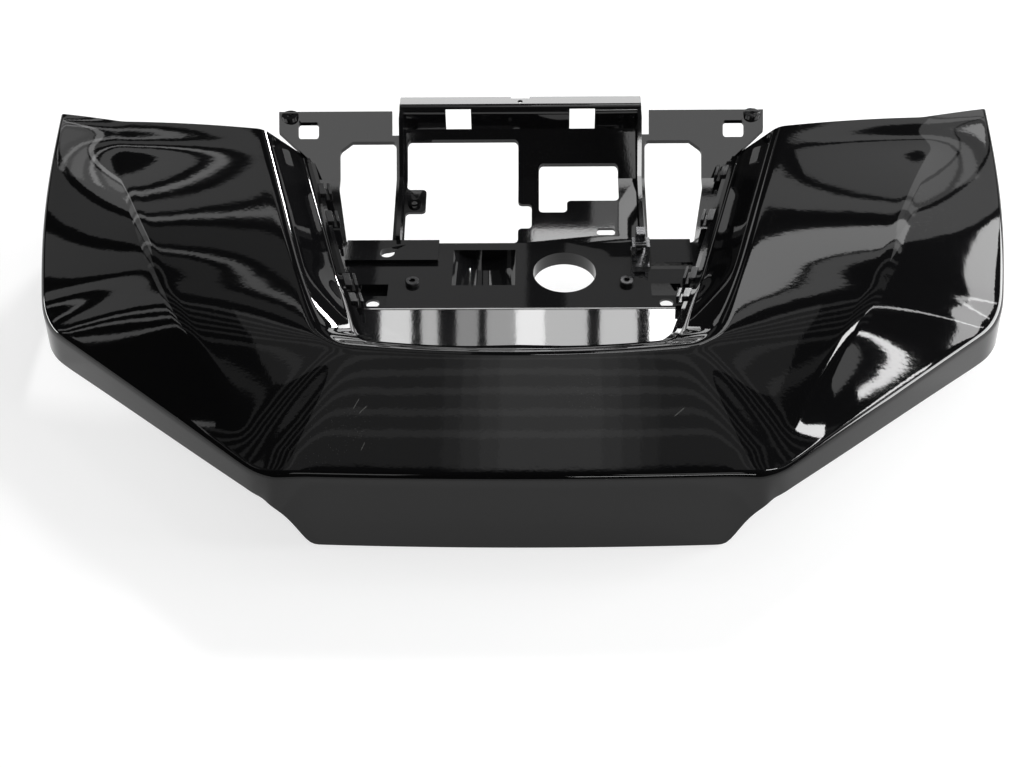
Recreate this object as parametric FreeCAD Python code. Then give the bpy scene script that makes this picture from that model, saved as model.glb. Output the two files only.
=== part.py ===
import FreeCAD, Part
import math
import os

V = FreeCAD.Vector

# Walls
SHELL_WALL = 3.0
TRAY_WALL = 2.5

# Outer crease, seen in plan from the centre of the lip
LIP_LEAN = 12.0
LIP_BOW = 4.0
LIP_HALF = 208.0
LIP_ROUND = 34.0
CORNER_X = 442.0
CORNER_Y = 215.0
CORNER_ROUND = 62.0
REAR_HALF = 458.0
RUN_OUT_Y = 474.0

# Heights of the outer crease and of the lower edge
LIP_TOP_Z = 72.0
CORNER_Z = 64.0
WING_Z = 138.0
WING_Y = 440.0
SKIRT_Z = 30.0
SKIRT_LEAN = 3.0
LIP_FOOT_HALF = 176.0
LIP_STEP_HALF = 230.0

# Ridge round the U-shaped opening
RIDGE_FRONT_Y = 140.0
RIDGE_BOW = 10.0
RIDGE_CORNER_X = 171.0
RIDGE_ROUND = 30.0
RIDGE_REAR_X = 249.0
RIDGE_REAR_Y = 405.0
RIDGE_FRONT_Z = 106.0
RIDGE_REAR_Z = 148.0

# Wall that drops from the ridge into the opening
WALL_FRONT_RUN = 8.0
WALL_SIDE_RUN = 32.0
WALL_FRONT_DROP = 8.0
WALL_SIDE_DROP = 30.0
WALL_FIRST_Y = 150.0
WALL_DEEP_Y = 232.0
RETURN_LIP = 6.0

# Wing crease
CREASE_START = 180.7
CREASE_LEAN = 0.860
CREASE_BEND = 0.000816
CREASE_RISE = 20.0
CREASE_FIRST_Y = 60.0
CREASE_LAST_Y = 400.0
FRONT_CREASE_SHARE = 0.9

# Rounded edges of the shell
RIDGE_EDGE = 6.0
SKIRT_EDGE = 5.0

# Rear edge of the wings
REAR_INNER_Y = 401.0
REAR_CREASE_X = 394.0
REAR_CREASE_Y = 420.0
REAR_OUTER_X = 452.0
FULL_DEPTH = 445.0

# Tray: folds of the sheet, front to back
SLOPE_TOP_Y = 138.0
SLOPE_TOP_Z = 95.0
FLOOR_Y = 206.0
FLOOR_Z = 82.0
PANEL_Y = 305.0
FOLD_Y = 382.0
FOLD_Z = 101.0
FLANGE_TOP_Y = 427.0
FLANGE_TOP_Z = 150.0
CREST_Y = 415.0
LEDGE_Z = 160.0
LEDGE_BACK_Y = 436.0
LEDGE_ROUND = 8.0

# Tray: rails, centre box and flanges
RAIL_SHELF = 4.0
RAIL_HANG = 1.5
RAIL_END = 2.74
BOX_HALF = 117.0
RIB_WALL = 4.0
RIB_RISE = 9.0
FLANGE_HALF = 236.0
FLANGE_GAP = 8.0
FLANGE_GAP_Y = 411.0
GUSSET_Y = 414.0
LUG_INSET = 11.0
LUG_Y = 423.0
LUG_R = 8.0
LUG_HOLE_R = 3.0
LUG_WALL = 4.0

# Tray: windows
MAIN_X0, MAIN_X1, MAIN_Y1 = -110.0, -2.0, 408.0
MAIN_NOTCH_X, MAIN_NOTCH_Y0, MAIN_NOTCH_Y1 = 11.0, 322.0, 351.0
TAB_X, TAB_Y0, TAB_Y1 = -91.0, 342.0, 369.0
TAB_HOLE_X, TAB_HOLE_Y, TAB_HOLE_R = -102.0, 352.0, 3.3
TAB_BOSS_R, TAB_BOSS_UP, TAB_BOSS_DOWN = 6.5, 1.5, 4.0
SMALL_X0, SMALL_X1, SMALL_Y0, SMALL_Y1 = 18.0, 95.0, 355.0, 392.0
SMALL_FOOT_X, SMALL_FOOT_Y = 45.0, 341.0
SIDE_GAP, SIDE_X1, SIDE_Y1 = 4.0, 176.0, 407.0
SIDE_CUT = 12.0
WINDOW_ROUND = 4.0
SLOT_ROUND = 2.5
CLIP_WINDOW = 24.5
CLIP_WINDOW_X = 60.0
FLANGE_WINDOW_INSET, FLANGE_WINDOW_WIDE = 19.0, 20.0
FLANGE_WINDOW_Y0, FLANGE_WINDOW_Y1 = 409.0, 420.0
SLOT_X0, SLOT_X1, SLOT_Y0, SLOT_Y1 = 73.0, 90.0, 314.0, 322.0
DROP_X, DROP_Y, DROP_R, DROP_TIP_X, DROP_TIP_Y = -124.0, 286.0, 7.0, -107.0, 298.0
NOTCH_HALF, NOTCH_DEEP, NOTCH_HOLE_Y, NOTCH_HOLE_R = 9.0, 3.0, 427.5, 2.5

# Tray: floor features
ACCESS_X, ACCESS_Y, ACCESS_R = 41.5, 261.0, 29.0
COLLAR_WALL, COLLAR_DROP = 2.5, 14.0
SHELF_X0, SHELF_X1, SHELF_Y0, SHELF_RISE = -163.0, -76.0, 275.0, 4.0
STEP_X0, STEP_X1, STEP_Y0 = 122.0, 160.0, 270.0
TROUGH_X, TROUGH_HALF, TROUGH_R = -33.0, 29.0, 40.0
TROUGH_Y0, TROUGH_Y1 = 240.0, 297.0
POCKET_X0, POCKET_X1, POCKET_Y0, POCKET_Y1, POCKET_DROP = 120.0, 147.0, 213.0, 244.0, 7.0
POCKET_HOLE_R = 6.0
SCREW_X, SCREW_Y = 98.0, 245.0
SCREW_HEAD_R, SCREW_HEAD_H = 6.5, 4.0
SCREW_SHANK_R, SCREW_LENGTH = 3.0, 16.0
SCREW_CLEARANCE = 0.4
SCREW_CHAMFER = 0.8
SCREW_SOCKET_R, SCREW_SOCKET_DEEP = 3.0, 2.4
BOSS_R, BOSS_DROP = 8.0, 9.0

# Edge clips on the rails and the latch clip
CLIP_LENGTH = 15.0
CLIP_REACH, CLIP_LAP, CLIP_HANG, CLIP_CAP = 8.0, 3.5, 5.5, 3.0
CLIP_SLOT_NEAR, CLIP_SLOT_FAR, CLIP_SLOT_DEEP = 2.6, 5.4, 4.0
LEFT_CLIPS = [355.0, 319.0, 240.0, 214.0]
RIGHT_CLIPS = [378.0, 319.0, 247.0, 220.0]
LATCH_X, LATCH_Y, LATCH_WIDE, LATCH_LONG = 112.0, 280.0, 16.0, 30.0
LATCH_BASE, LATCH_TALL, LATCH_WALL = 3.0, 26.0, 3.0


def clamp(value):
    """Keep a share between nought and one."""
    return max(0.0, min(1.0, value))


def unit(vector):
    """Copy of a vector with length one."""
    return vector * (1.0 / vector.Length)


def plan(vector):
    """Copy of a vector laid flat."""
    return V(vector.x, vector.y, 0)


def rounded_path(corners, radii):
    """Split a plan polyline into straight runs and the arcs between them."""
    runs = []
    start = corners[0]
    for here, radius, before, after in zip(corners[1:], radii, corners, corners[2:]):
        back = unit(before - here)
        ahead = unit(after - here)
        half = back.getAngle(ahead) / 2
        first = here + back * (radius / math.tan(half))
        last = here + ahead * (radius / math.tan(half))
        centre = here + unit(back + ahead) * (radius / math.sin(half))
        runs.append((start, first, None))
        runs.append((first, last, centre))
        start = last
    runs.append((start, corners[-1], None))
    return runs


def point_on(runs, place):
    """Point at a place on a path: whole part is the run, the rest its share."""
    index = min(int(place), len(runs) - 1)
    share = place - index
    first, last, centre = runs[index]
    if centre is None:
        return first + (last - first) * share
    out = first - centre
    end = last - centre
    angle = out.getAngle(end)
    near = math.sin((1 - share) * angle) / math.sin(angle)
    far = math.sin(share * angle) / math.sin(angle)
    return centre + out * near + end * far


def bowed(point, half, bow):
    """Move a front point forward so that the straight front becomes an arc."""
    return point - V(0, bow * clamp(1 - (point.x / half) ** 2), 0)


SIDE_SLOPE = (REAR_HALF - CORNER_X) / (WING_Y - CORNER_Y)
RIDGE_SLOPE = (RIDGE_REAR_X - RIDGE_CORNER_X) / (RIDGE_REAR_Y - RIDGE_FRONT_Y)
PANEL_PITCH = (FLANGE_TOP_Z - FOLD_Z) / (FLANGE_TOP_Y - FOLD_Y)
CREST_Z = FOLD_Z + PANEL_PITCH * (CREST_Y - FOLD_Y)
LIP_Y = LIP_LEAN + LIP_BOW
LUG_X = FLANGE_HALF - LUG_INSET
SIDE_X0 = BOX_HALF + SIDE_GAP
FLANGE_INNER = BOX_HALF + FLANGE_GAP
FLANGE_WINDOW_X1 = FLANGE_HALF - FLANGE_WINDOW_INSET
FLANGE_WINDOW_X0 = FLANGE_WINDOW_X1 - FLANGE_WINDOW_WIDE
FOOT_Y = RIDGE_FRONT_Y + WALL_FRONT_RUN
FOOT_CORNER_X = RIDGE_CORNER_X - WALL_SIDE_RUN
RIDGE_TILT = math.atan(RIDGE_SLOPE)
ROUND_REACH = math.cos(RIDGE_TILT) / math.tan((math.pi / 2 + RIDGE_TILT) / 2)
FOOT_ROUND = RIDGE_ROUND - WALL_FRONT_RUN / ROUND_REACH

OUTER_PATH = rounded_path(
    [V(0, LIP_Y, 0), V(LIP_HALF, LIP_Y, 0), V(CORNER_X, CORNER_Y, 0),
     V(CORNER_X + SIDE_SLOPE * (RUN_OUT_Y - CORNER_Y), RUN_OUT_Y, 0)],
    [LIP_ROUND, CORNER_ROUND])
RIDGE_PATH = rounded_path(
    [V(0, RIDGE_FRONT_Y, 0), V(RIDGE_CORNER_X, RIDGE_FRONT_Y, 0),
     V(RIDGE_CORNER_X + RIDGE_SLOPE * (RUN_OUT_Y - RIDGE_FRONT_Y), RUN_OUT_Y, 0)],
    [RIDGE_ROUND])
FOOT_PATH = rounded_path(
    [V(0, FOOT_Y, 0), V(FOOT_CORNER_X, FOOT_Y, 0),
     V(FOOT_CORNER_X + RIDGE_SLOPE * (RUN_OUT_Y - FOOT_Y), RUN_OUT_Y, 0)],
    [FOOT_ROUND])
BEND_PLACE = 2.1
DEEP_PLACE = 2 + (WALL_DEEP_Y - RIDGE_PATH[2][0].y) / (RUN_OUT_Y - RIDGE_PATH[2][0].y)

# Stations round the horseshoe: place on the outer crease, place on the ridge
STATIONS = [
    (0.0, 0.0), (0.5, 0.52), (0.9, 0.93), (1.0, 1.1), (1.5, 1.3), (2.0, 1.5), (2.35, 1.75),
    (2.7, 2.0), (3.0, BEND_PLACE), (3.33, DEEP_PLACE), (3.67, 2.29), (4.0, 2.36), (4.45, 2.62),
    (5.0, 3.0),
]


def ridge_height(y):
    """Height of the ridge, rising steadily to the rear."""
    share = (y - RIDGE_FRONT_Y) / (RIDGE_REAR_Y - RIDGE_FRONT_Y)
    return RIDGE_FRONT_Z + (RIDGE_REAR_Z - RIDGE_FRONT_Z) * share


def crease_share(ridge, outer):
    """Share of the way from ridge to outer crease at which the wing crease lies."""
    def side(share):
        spot = ridge + (outer - ridge) * share
        return spot.x - (CREASE_START + CREASE_LEAN * spot.y - CREASE_BEND * spot.y ** 2)
    low, high = 0.2, 0.97
    if side(low) > 0 or side(high) < 0:
        return FRONT_CREASE_SHARE
    for _ in range(40):
        middle = (low + high) / 2
        if side(middle) < 0:
            low = middle
        else:
            high = middle
    return low


def wall_points(ridge_place):
    """Return lip, foot and ridge of the opening's wall at one place."""
    ridge = bowed(point_on(RIDGE_PATH, ridge_place), RIDGE_CORNER_X, RIDGE_BOW)
    foot = bowed(point_on(FOOT_PATH, ridge_place), FOOT_CORNER_X, RIDGE_BOW)
    ridge.z = ridge_height(ridge.y)
    deeper = clamp((ridge.y - WALL_FIRST_Y) / (WALL_DEEP_Y - WALL_FIRST_Y))
    foot.z = ridge.z - WALL_FRONT_DROP - (WALL_SIDE_DROP - WALL_FRONT_DROP) * deeper
    inward = unit(plan(foot) - plan(ridge))
    return foot + inward * RETURN_LIP, foot, ridge


def key_points(outer_place, ridge_place):
    """Skin corners of one station: return lip, foot, ridge, crease, outer, lower edge."""
    lip, foot, ridge = wall_points(ridge_place)
    outer = bowed(point_on(OUTER_PATH, outer_place), LIP_HALF, LIP_BOW)
    away = unit(plan(outer) - plan(ridge))
    share = crease_share(plan(ridge), plan(outer))
    along = clamp((outer.y - CORNER_Y) / (WING_Y - CORNER_Y))
    toward = clamp((outer_place - 1.0) / 2.0)
    outer.z = LIP_TOP_Z + (CORNER_Z - LIP_TOP_Z) * toward + (WING_Z - CORNER_Z) * along
    crease = ridge + (outer - ridge) * share
    swell = clamp((crease.y - CREASE_FIRST_Y) / (CREASE_LAST_Y - CREASE_FIRST_Y))
    crease.z += CREASE_RISE * math.sin(math.pi * swell)

    lean = LIP_LEAN + (SKIRT_LEAN - LIP_LEAN) * clamp((outer_place - 0.9) / 0.6)
    edge = plan(outer) + away * (lean * (1 - along))
    step = clamp((edge.x - LIP_FOOT_HALF) / (LIP_STEP_HALF - LIP_FOOT_HALF))
    edge.z = SKIRT_Z * step * (2 - step) * (1 - along)
    return [lip, foot, ridge, crease, outer, edge]


def shifts(flat, depth):
    """Moves that carry the corners of a flat line to its right-hand side by a depth."""
    normals = []
    for first, last in zip(flat, flat[1:]):
        way = unit(last - first)
        normals.append(V(way.y, -way.x, 0))
    pairs = zip(normals[:1] + normals, normals + normals[-1:])
    return [(before + after) * (depth / (1 + before.dot(after))) for before, after in pairs]


def sunk(points, depth):
    """The same skin corners, moved to the inside by a wall thickness."""
    run = [0.0]
    for first, last in zip(points, points[1:]):
        run.append(run[-1] + plan(last - first).Length)
    flat = [V(q, p.z, 0) for q, p in zip(run, points)]
    moved = []
    for k, shift in enumerate(shifts(flat, depth)):
        behind = points[max(min(k - 1, len(points) - 3), 0)]
        ahead = plan(points[min(k + 1, len(points) - 1)] - behind)
        moved.append(points[k] + unit(ahead) * shift.x + V(0, 0, shift.y))
    moved[-1].z = points[-1].z
    return moved


def rounded_corner(before, here, after, cut):
    """Ends and middle of the arc that rounds a corner."""
    back = unit(before - here)
    ahead = unit(after - here)
    half = back.getAngle(ahead) / 2
    reach = cut / math.cos(half) - cut * math.tan(half)
    return here + back * cut, here + unit(back + ahead) * reach, here + ahead * cut


def skin_edges(points, ridge_cut, outer_cut):
    """Edges along one skin, with the ridge and the outer crease rounded."""
    lip, foot, ridge, crease, outer, edge = points
    r1, r2, r3 = rounded_corner(foot, ridge, crease, ridge_cut)
    o1, o2, o3 = rounded_corner(crease, outer, edge, outer_cut)
    return [
        Part.makeLine(lip, foot), Part.makeLine(foot, r1), Part.Arc(r1, r2, r3).toShape(),
        Part.makeLine(r3, crease), Part.makeLine(crease, o1), Part.Arc(o1, o2, o3).toShape(),
        Part.makeLine(o3, edge)]


def mirrored(points):
    """The same points on the left-hand side."""
    return [V(-p.x, p.y, p.z) for p in points]


def shell_section(points):
    """Closed outline of the shell wall at one station."""
    inner = sunk(points, SHELL_WALL)
    edges = skin_edges(points, RIDGE_EDGE, SKIRT_EDGE)
    edges.append(Part.makeLine(points[-1], inner[-1]))
    edges += [Part.makeLine(first, last) for first, last in zip(inner, inner[1:])]
    edges.append(Part.makeLine(inner[0], points[0]))
    return Part.Wire(Part.__sortEdges__(edges))


def prism(outline, low, high):
    """Upright prism on a plan outline."""
    corners = [V(x, y, low) for x, y in outline]
    face = Part.Face(Part.makePolygon(corners + corners[:1]))
    return face.extrude(V(0, 0, high - low))


def window(outline, radius):
    """Tall upright cutter with rounded corners on a plan outline."""
    body = prism(outline, 0, 2 * LEDGE_Z)
    upright = [edge for edge in body.Edges if edge.BoundBox.ZLength > LEDGE_Z]
    return body.makeFillet(radius, upright)


def oblong(x0, x1, y0, y1):
    """Corners of a plan rectangle."""
    return [(x0, y0), (x1, y0), (x1, y1), (x0, y1)]


def both_sides(shape):
    """A shape joined with its mirror image across the centre plane."""
    return shape.fuse(shape.mirror(V(0, 0, 0), V(1, 0, 0)))


def cover_shell():
    """Gloss outer moulding: a wall lofted round the horseshoe and trimmed at the rear."""
    right = [key_points(*place) for place in STATIONS]
    rows = [mirrored(points) for points in right[:0:-1]] + right
    wall = Part.makeLoft([shell_section(points) for points in rows], True, True)
    far = RUN_OUT_Y + 10
    wide = REAR_HALF + 20
    rear = prism(
        [(RIDGE_CORNER_X, REAR_INNER_Y), (RIDGE_REAR_X, REAR_INNER_Y),
         (REAR_CREASE_X, REAR_CREASE_Y), (REAR_OUTER_X, FULL_DEPTH), (wide, FULL_DEPTH),
         (wide, far), (RIDGE_CORNER_X, far)], -10, 2 * LEDGE_Z)
    return wall.cut(both_sides(rear))


def block(x0, x1, y0, y1, z0, z1):
    """Upright box between two corners."""
    return Part.makeBox(x1 - x0, y1 - y0, z1 - z0, V(x0, y0, z0))


def drill(x, y, radius, low, high):
    """Upright cylinder between two heights."""
    return Part.makeCylinder(radius, high - low, V(x, y, low))


def sheet(line, half):
    """Sheet of tray wall that hangs under a line of depths and heights."""
    flat = [V(y, z, 0) for y, z in line]
    under = [point + shift for point, shift in zip(flat, shifts(flat, TRAY_WALL))]
    corners = [V(-half, p.x, p.y) for p in flat + under[::-1]]
    face = Part.Face(Part.makePolygon(corners + corners[:1]))
    return face.extrude(V(2 * half, 0, 0))


def rounded_fold(body, y, z, radius):
    """Round the two edges of a sheet along one fold, so that its wall stays even."""
    def near(edge):
        middle = edge.CenterOfMass
        return math.hypot(middle.y - y, middle.z - z)
    level = [edge for edge in body.Edges if edge.BoundBox.XLength > BOX_HALF]
    outer, inner = sorted(level, key=near)[:2]
    body = body.makeFillet(radius, [outer])
    level = [edge for edge in body.Edges if edge.BoundBox.XLength > BOX_HALF]
    spot = inner.CenterOfMass
    inner = min(level, key=lambda edge: (edge.CenterOfMass - spot).Length)
    return body.makeFillet(radius - TRAY_WALL, [inner])


def rail_point(place):
    """Inner top corner of the rail, and the level way out from it."""
    lip, foot, ridge = wall_points(place)
    outward = unit(plan(foot) - plan(lip))
    return lip - outward * RAIL_SHELF - V(0, 0, SHELL_WALL), outward


def rail_section(place):
    """Outline of the rail that carries the shell's return lip."""
    corner, outward = rail_point(place)
    reach = RAIL_SHELF + RETURN_LIP
    slope = clamp((FLOOR_Y - corner.y) / (FLOOR_Y - SLOPE_TOP_Y))
    low = FLOOR_Z + (SLOPE_TOP_Z - FLOOR_Z) * slope - TRAY_WALL - RAIL_HANG
    foot = V(corner.x, corner.y, low)
    wall = outward * TRAY_WALL
    drop = V(0, 0, TRAY_WALL)
    return [corner, corner + outward * reach, corner + outward * reach - drop,
            corner + wall - drop, foot + wall, foot]


def tray_outline():
    """Right half of the tray in plan, from the front centre to the flange."""
    places = [place for _, place in STATIONS if place < RAIL_END] + [RAIL_END]
    middles = [corner + outward * (TRAY_WALL / 2) for corner, outward in map(rail_point, places)]
    half = [(p.x, p.y) for p in middles]
    return half + [(FLANGE_HALF, GUSSET_Y), (FLANGE_HALF, FLANGE_TOP_Y), (0, FLANGE_TOP_Y)]


def main_window():
    """Plan outline of the large window, with its side notch and the tab left in."""
    return [(MAIN_X0, PANEL_Y), (MAIN_X1, PANEL_Y), (MAIN_X1, MAIN_NOTCH_Y0),
            (MAIN_NOTCH_X, MAIN_NOTCH_Y0), (MAIN_NOTCH_X, MAIN_NOTCH_Y1),
            (MAIN_X1, MAIN_NOTCH_Y1), (MAIN_X1, MAIN_Y1), (MAIN_X0, MAIN_Y1),
            (MAIN_X0, TAB_Y1), (TAB_X, TAB_Y1), (TAB_X, TAB_Y0), (MAIN_X0, TAB_Y0)]


def small_window():
    """Plan outline of the small L-shaped window."""
    return [(SMALL_X0, SMALL_FOOT_Y), (SMALL_FOOT_X, SMALL_FOOT_Y), (SMALL_FOOT_X, SMALL_Y0),
            (SMALL_X1, SMALL_Y0), (SMALL_X1, SMALL_Y1), (SMALL_X0, SMALL_Y1)]


def side_window():
    """Plan outline of a side window, cut back at its outer rear corner."""
    return [(SIDE_X0, PANEL_Y), (SIDE_X1 - SIDE_CUT, PANEL_Y), (SIDE_X1, FOLD_Y - SIDE_CUT),
            (SIDE_X1, SIDE_Y1 - SIDE_CUT / 2), (SIDE_X1 - SIDE_CUT, SIDE_Y1), (SIDE_X0, SIDE_Y1)]


def folded_sheet():
    """Tray sheet folded into slope, floor, lower panel and upper panel, with its windows."""
    fold = sheet([(SLOPE_TOP_Y, SLOPE_TOP_Z), (FLOOR_Y, FLOOR_Z), (PANEL_Y, FLOOR_Z),
                  (FOLD_Y, FOLD_Z), (FLANGE_TOP_Y, FLANGE_TOP_Z)], FLANGE_HALF)
    body = fold.common(both_sides(prism(tray_outline(), 0, 2 * LEDGE_Z)))
    high = 2 * LEDGE_Z
    body = body.cut(block(-BOX_HALF, BOX_HALF, CREST_Y, RUN_OUT_Y, 0, high))
    flange_hole = oblong(FLANGE_WINDOW_X0, FLANGE_WINDOW_X1, FLANGE_WINDOW_Y0, FLANGE_WINDOW_Y1)
    windows = [window(main_window(), WINDOW_ROUND), window(small_window(), WINDOW_ROUND),
               both_sides(window(side_window(), WINDOW_ROUND)),
               window(oblong(SLOT_X0, SLOT_X1, SLOT_Y0, SLOT_Y1), SLOT_ROUND),
               both_sides(window(flange_hole, SLOT_ROUND)),
               both_sides(block(BOX_HALF, FLANGE_INNER, FLANGE_GAP_Y, RUN_OUT_Y, 0, high))]
    for cutter in windows:
        body = body.cut(cutter)
    tab = FLOOR_Z + (FOLD_Z - FLOOR_Z) * (TAB_HOLE_Y - PANEL_Y) / (FOLD_Y - PANEL_Y)
    body = body.fuse(drill(TAB_HOLE_X, TAB_HOLE_Y, TAB_BOSS_R, tab - TAB_BOSS_DOWN, tab + TAB_BOSS_UP))
    return body.cut(drill(TAB_HOLE_X, TAB_HOLE_Y, TAB_HOLE_R, 0, high))


def centre_box():
    """Raised box behind the windows: ledge, rim wall and the cheeks at its sides."""
    rim = sheet([(CREST_Y - TRAY_WALL, CREST_Z - TRAY_WALL), (CREST_Y, CREST_Z),
                 (CREST_Y + 1, LEDGE_Z), (LEDGE_BACK_Y, LEDGE_Z)], BOX_HALF)
    rim = rounded_fold(rim, CREST_Y + 1, LEDGE_Z, LEDGE_ROUND)
    side = [(PANEL_Y, FLOOR_Z - TRAY_WALL), (FOLD_Y, FOLD_Z - TRAY_WALL),
            (CREST_Y, CREST_Z - TRAY_WALL), (LEDGE_BACK_Y, LEDGE_Z - 3 * TRAY_WALL),
            (LEDGE_BACK_Y, LEDGE_Z), (CREST_Y - RIB_RISE, LEDGE_Z - RIB_RISE / 2),
            (FOLD_Y - RIB_RISE, FOLD_Z + RIB_RISE), (PANEL_Y, FLOOR_Z + RIB_RISE)]
    corners = [V(BOX_HALF - RIB_WALL, y, z) for y, z in side]
    face = Part.Face(Part.makePolygon(corners + corners[:1]))
    body = rim.fuse(both_sides(face.extrude(V(RIB_WALL, 0, 0))))
    half = CLIP_WINDOW / 2
    low = CREST_Z - TRAY_WALL
    opening = block(CLIP_WINDOW_X - half, CLIP_WINDOW_X + half, CREST_Y - 6, CREST_Y + 6,
                    low, LEDGE_Z - TRAY_WALL)
    body = body.cut(both_sides(opening))
    body = body.cut(block(-NOTCH_HALF, NOTCH_HALF, LEDGE_BACK_Y - NOTCH_DEEP, RUN_OUT_Y,
                          low, 2 * LEDGE_Z))
    return body.cut(drill(0, NOTCH_HOLE_Y, NOTCH_HOLE_R, low, 2 * LEDGE_Z))


def tray_rails():
    """Rail that runs round the opening under the return lip."""
    places = [place for _, place in STATIONS if place < RAIL_END] + [RAIL_END]
    right = [rail_section(place) for place in places]
    rows = [mirrored(points) for points in right[:0:-1]] + right
    wires = [Part.makePolygon(points + points[:1]) for points in rows]
    return Part.makeLoft(wires, True, True)


def add_floor(body):
    """Floor features: shelf and step, trough, pockets, screw bosses and access collar."""
    under = FLOOR_Z - TRAY_WALL
    body = body.fuse(block(SHELF_X0, SHELF_X1, SHELF_Y0, PANEL_Y, under, FLOOR_Z + SHELF_RISE))
    body = body.fuse(block(STEP_X0, STEP_X1, STEP_Y0, PANEL_Y, under, FLOOR_Z + SHELF_RISE))
    lift = FLOOR_Z + math.sqrt(TROUGH_R ** 2 - TROUGH_HALF ** 2)
    along = V(0, 1, 0)
    start = V(TROUGH_X, TROUGH_Y0, lift)
    outer = Part.makeCylinder(TROUGH_R + TRAY_WALL, TROUGH_Y1 - TROUGH_Y0, start, along)
    inner = Part.makeCylinder(TROUGH_R, TROUGH_Y1 - TROUGH_Y0 - 2 * TRAY_WALL,
                              start + V(0, TRAY_WALL, 0), along)
    below = block(-FLANGE_HALF, FLANGE_HALF, 0, FULL_DEPTH, 0, FLOOR_Z)
    body = body.fuse(outer.common(below)).cut(inner)
    for side in (-1, 1):
        x0, x1 = sorted((side * POCKET_X0, side * POCKET_X1))
        deep = under - POCKET_DROP
        body = body.fuse(block(x0 - TRAY_WALL, x1 + TRAY_WALL, POCKET_Y0 - TRAY_WALL,
                               POCKET_Y1 + TRAY_WALL, deep, FLOOR_Z))
        body = body.cut(block(x0, x1, POCKET_Y0, POCKET_Y1, deep + TRAY_WALL, 2 * FLOOR_Z))
        middle = (x0 + x1) / 2
        body = body.cut(drill(middle, POCKET_Y0 + 2 * POCKET_HOLE_R, POCKET_HOLE_R, 0, FLOOR_Z))
        body = body.fuse(drill(side * SCREW_X, SCREW_Y, BOSS_R, FLOOR_Z - BOSS_DROP, FLOOR_Z))
        hole = SCREW_SHANK_R + SCREW_CLEARANCE
        body = body.cut(drill(side * SCREW_X, SCREW_Y, hole, 0, 2 * FLOOR_Z))
    body = body.fuse(drill(ACCESS_X, ACCESS_Y, ACCESS_R + COLLAR_WALL, FLOOR_Z - COLLAR_DROP, FLOOR_Z))
    body = body.cut(drill(ACCESS_X, ACCESS_Y, ACCESS_R, 0, 2 * FLOOR_Z))
    drop = prism([(DROP_X, DROP_Y - DROP_R / 2), (DROP_TIP_X, DROP_TIP_Y), (DROP_X, DROP_Y + DROP_R)],
                 0, 2 * FLOOR_Z)
    return body.cut(drop.fuse(drill(DROP_X, DROP_Y, DROP_R, 0, 2 * FLOOR_Z)))


def inner_tray(shell):
    """Carrier moulding that fills the opening and lies against the shell."""
    body = folded_sheet().fuse(centre_box()).fuse(tray_rails())
    body = add_floor(body)
    pad = drill(LUG_X, LUG_Y, LUG_R, FLANGE_TOP_Z - LUG_WALL - 1, FLANGE_TOP_Z - 1)
    body = body.fuse(both_sides(pad))
    hole = drill(LUG_X, LUG_Y, LUG_HOLE_R, 0, 2 * LEDGE_Z)
    return body.cut(both_sides(hole)).removeSplitter().cut(shell)


def tray_screws():
    """Two socket-head screws that stand on the tray floor."""
    head = drill(SCREW_X, SCREW_Y, SCREW_HEAD_R, FLOOR_Z, FLOOR_Z + SCREW_HEAD_H)
    head = head.makeChamfer(SCREW_CHAMFER, [head.Edges[0]])
    top = FLOOR_Z + SCREW_HEAD_H
    screw = head.fuse(drill(SCREW_X, SCREW_Y, SCREW_SHANK_R, top - SCREW_LENGTH, top))
    angles = [math.radians(60 * k) for k in range(6)]
    hexagon = [(SCREW_X + SCREW_SOCKET_R * math.cos(a), SCREW_Y + SCREW_SOCKET_R * math.sin(a))
               for a in angles]
    return both_sides(screw.cut(prism(hexagon, top - SCREW_SOCKET_DEEP, top + 1)))


def edge_clip(y, side):
    """One U-shaped clip on the inner edge of a rail."""
    deep, _ = rail_point(DEEP_PLACE)
    start, end = deep, rail_point(RAIL_END)[0]
    if y < deep.y:
        start, end = rail_point(BEND_PLACE)[0], deep
    along = unit(end - start)
    inward = V(-1, 0, 0)
    middle = start + along * ((y - start.y) / along.y)
    line = [(-CLIP_LAP, 0), (0, 0), (0, -CLIP_HANG), (CLIP_REACH, -CLIP_HANG),
            (CLIP_REACH, CLIP_CAP), (CLIP_SLOT_FAR, CLIP_CAP), (CLIP_SLOT_FAR, -CLIP_SLOT_DEEP),
            (CLIP_SLOT_NEAR, -CLIP_SLOT_DEEP), (CLIP_SLOT_NEAR, CLIP_CAP), (-CLIP_LAP, CLIP_CAP)]
    near = middle - along * (CLIP_LENGTH / 2)
    corners = [near + inward * q + V(0, 0, z) for q, z in line]
    face = Part.Face(Part.makePolygon(corners + corners[:1]))
    clip = face.extrude(along * CLIP_LENGTH)
    if side > 0:
        return clip
    return clip.mirror(V(0, 0, 0), V(1, 0, 0))


def edge_clips(depths, side):
    """All the clips of one rail."""
    clips = [edge_clip(y, side) for y in depths]
    return clips[0].multiFuse(clips[1:])


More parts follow.
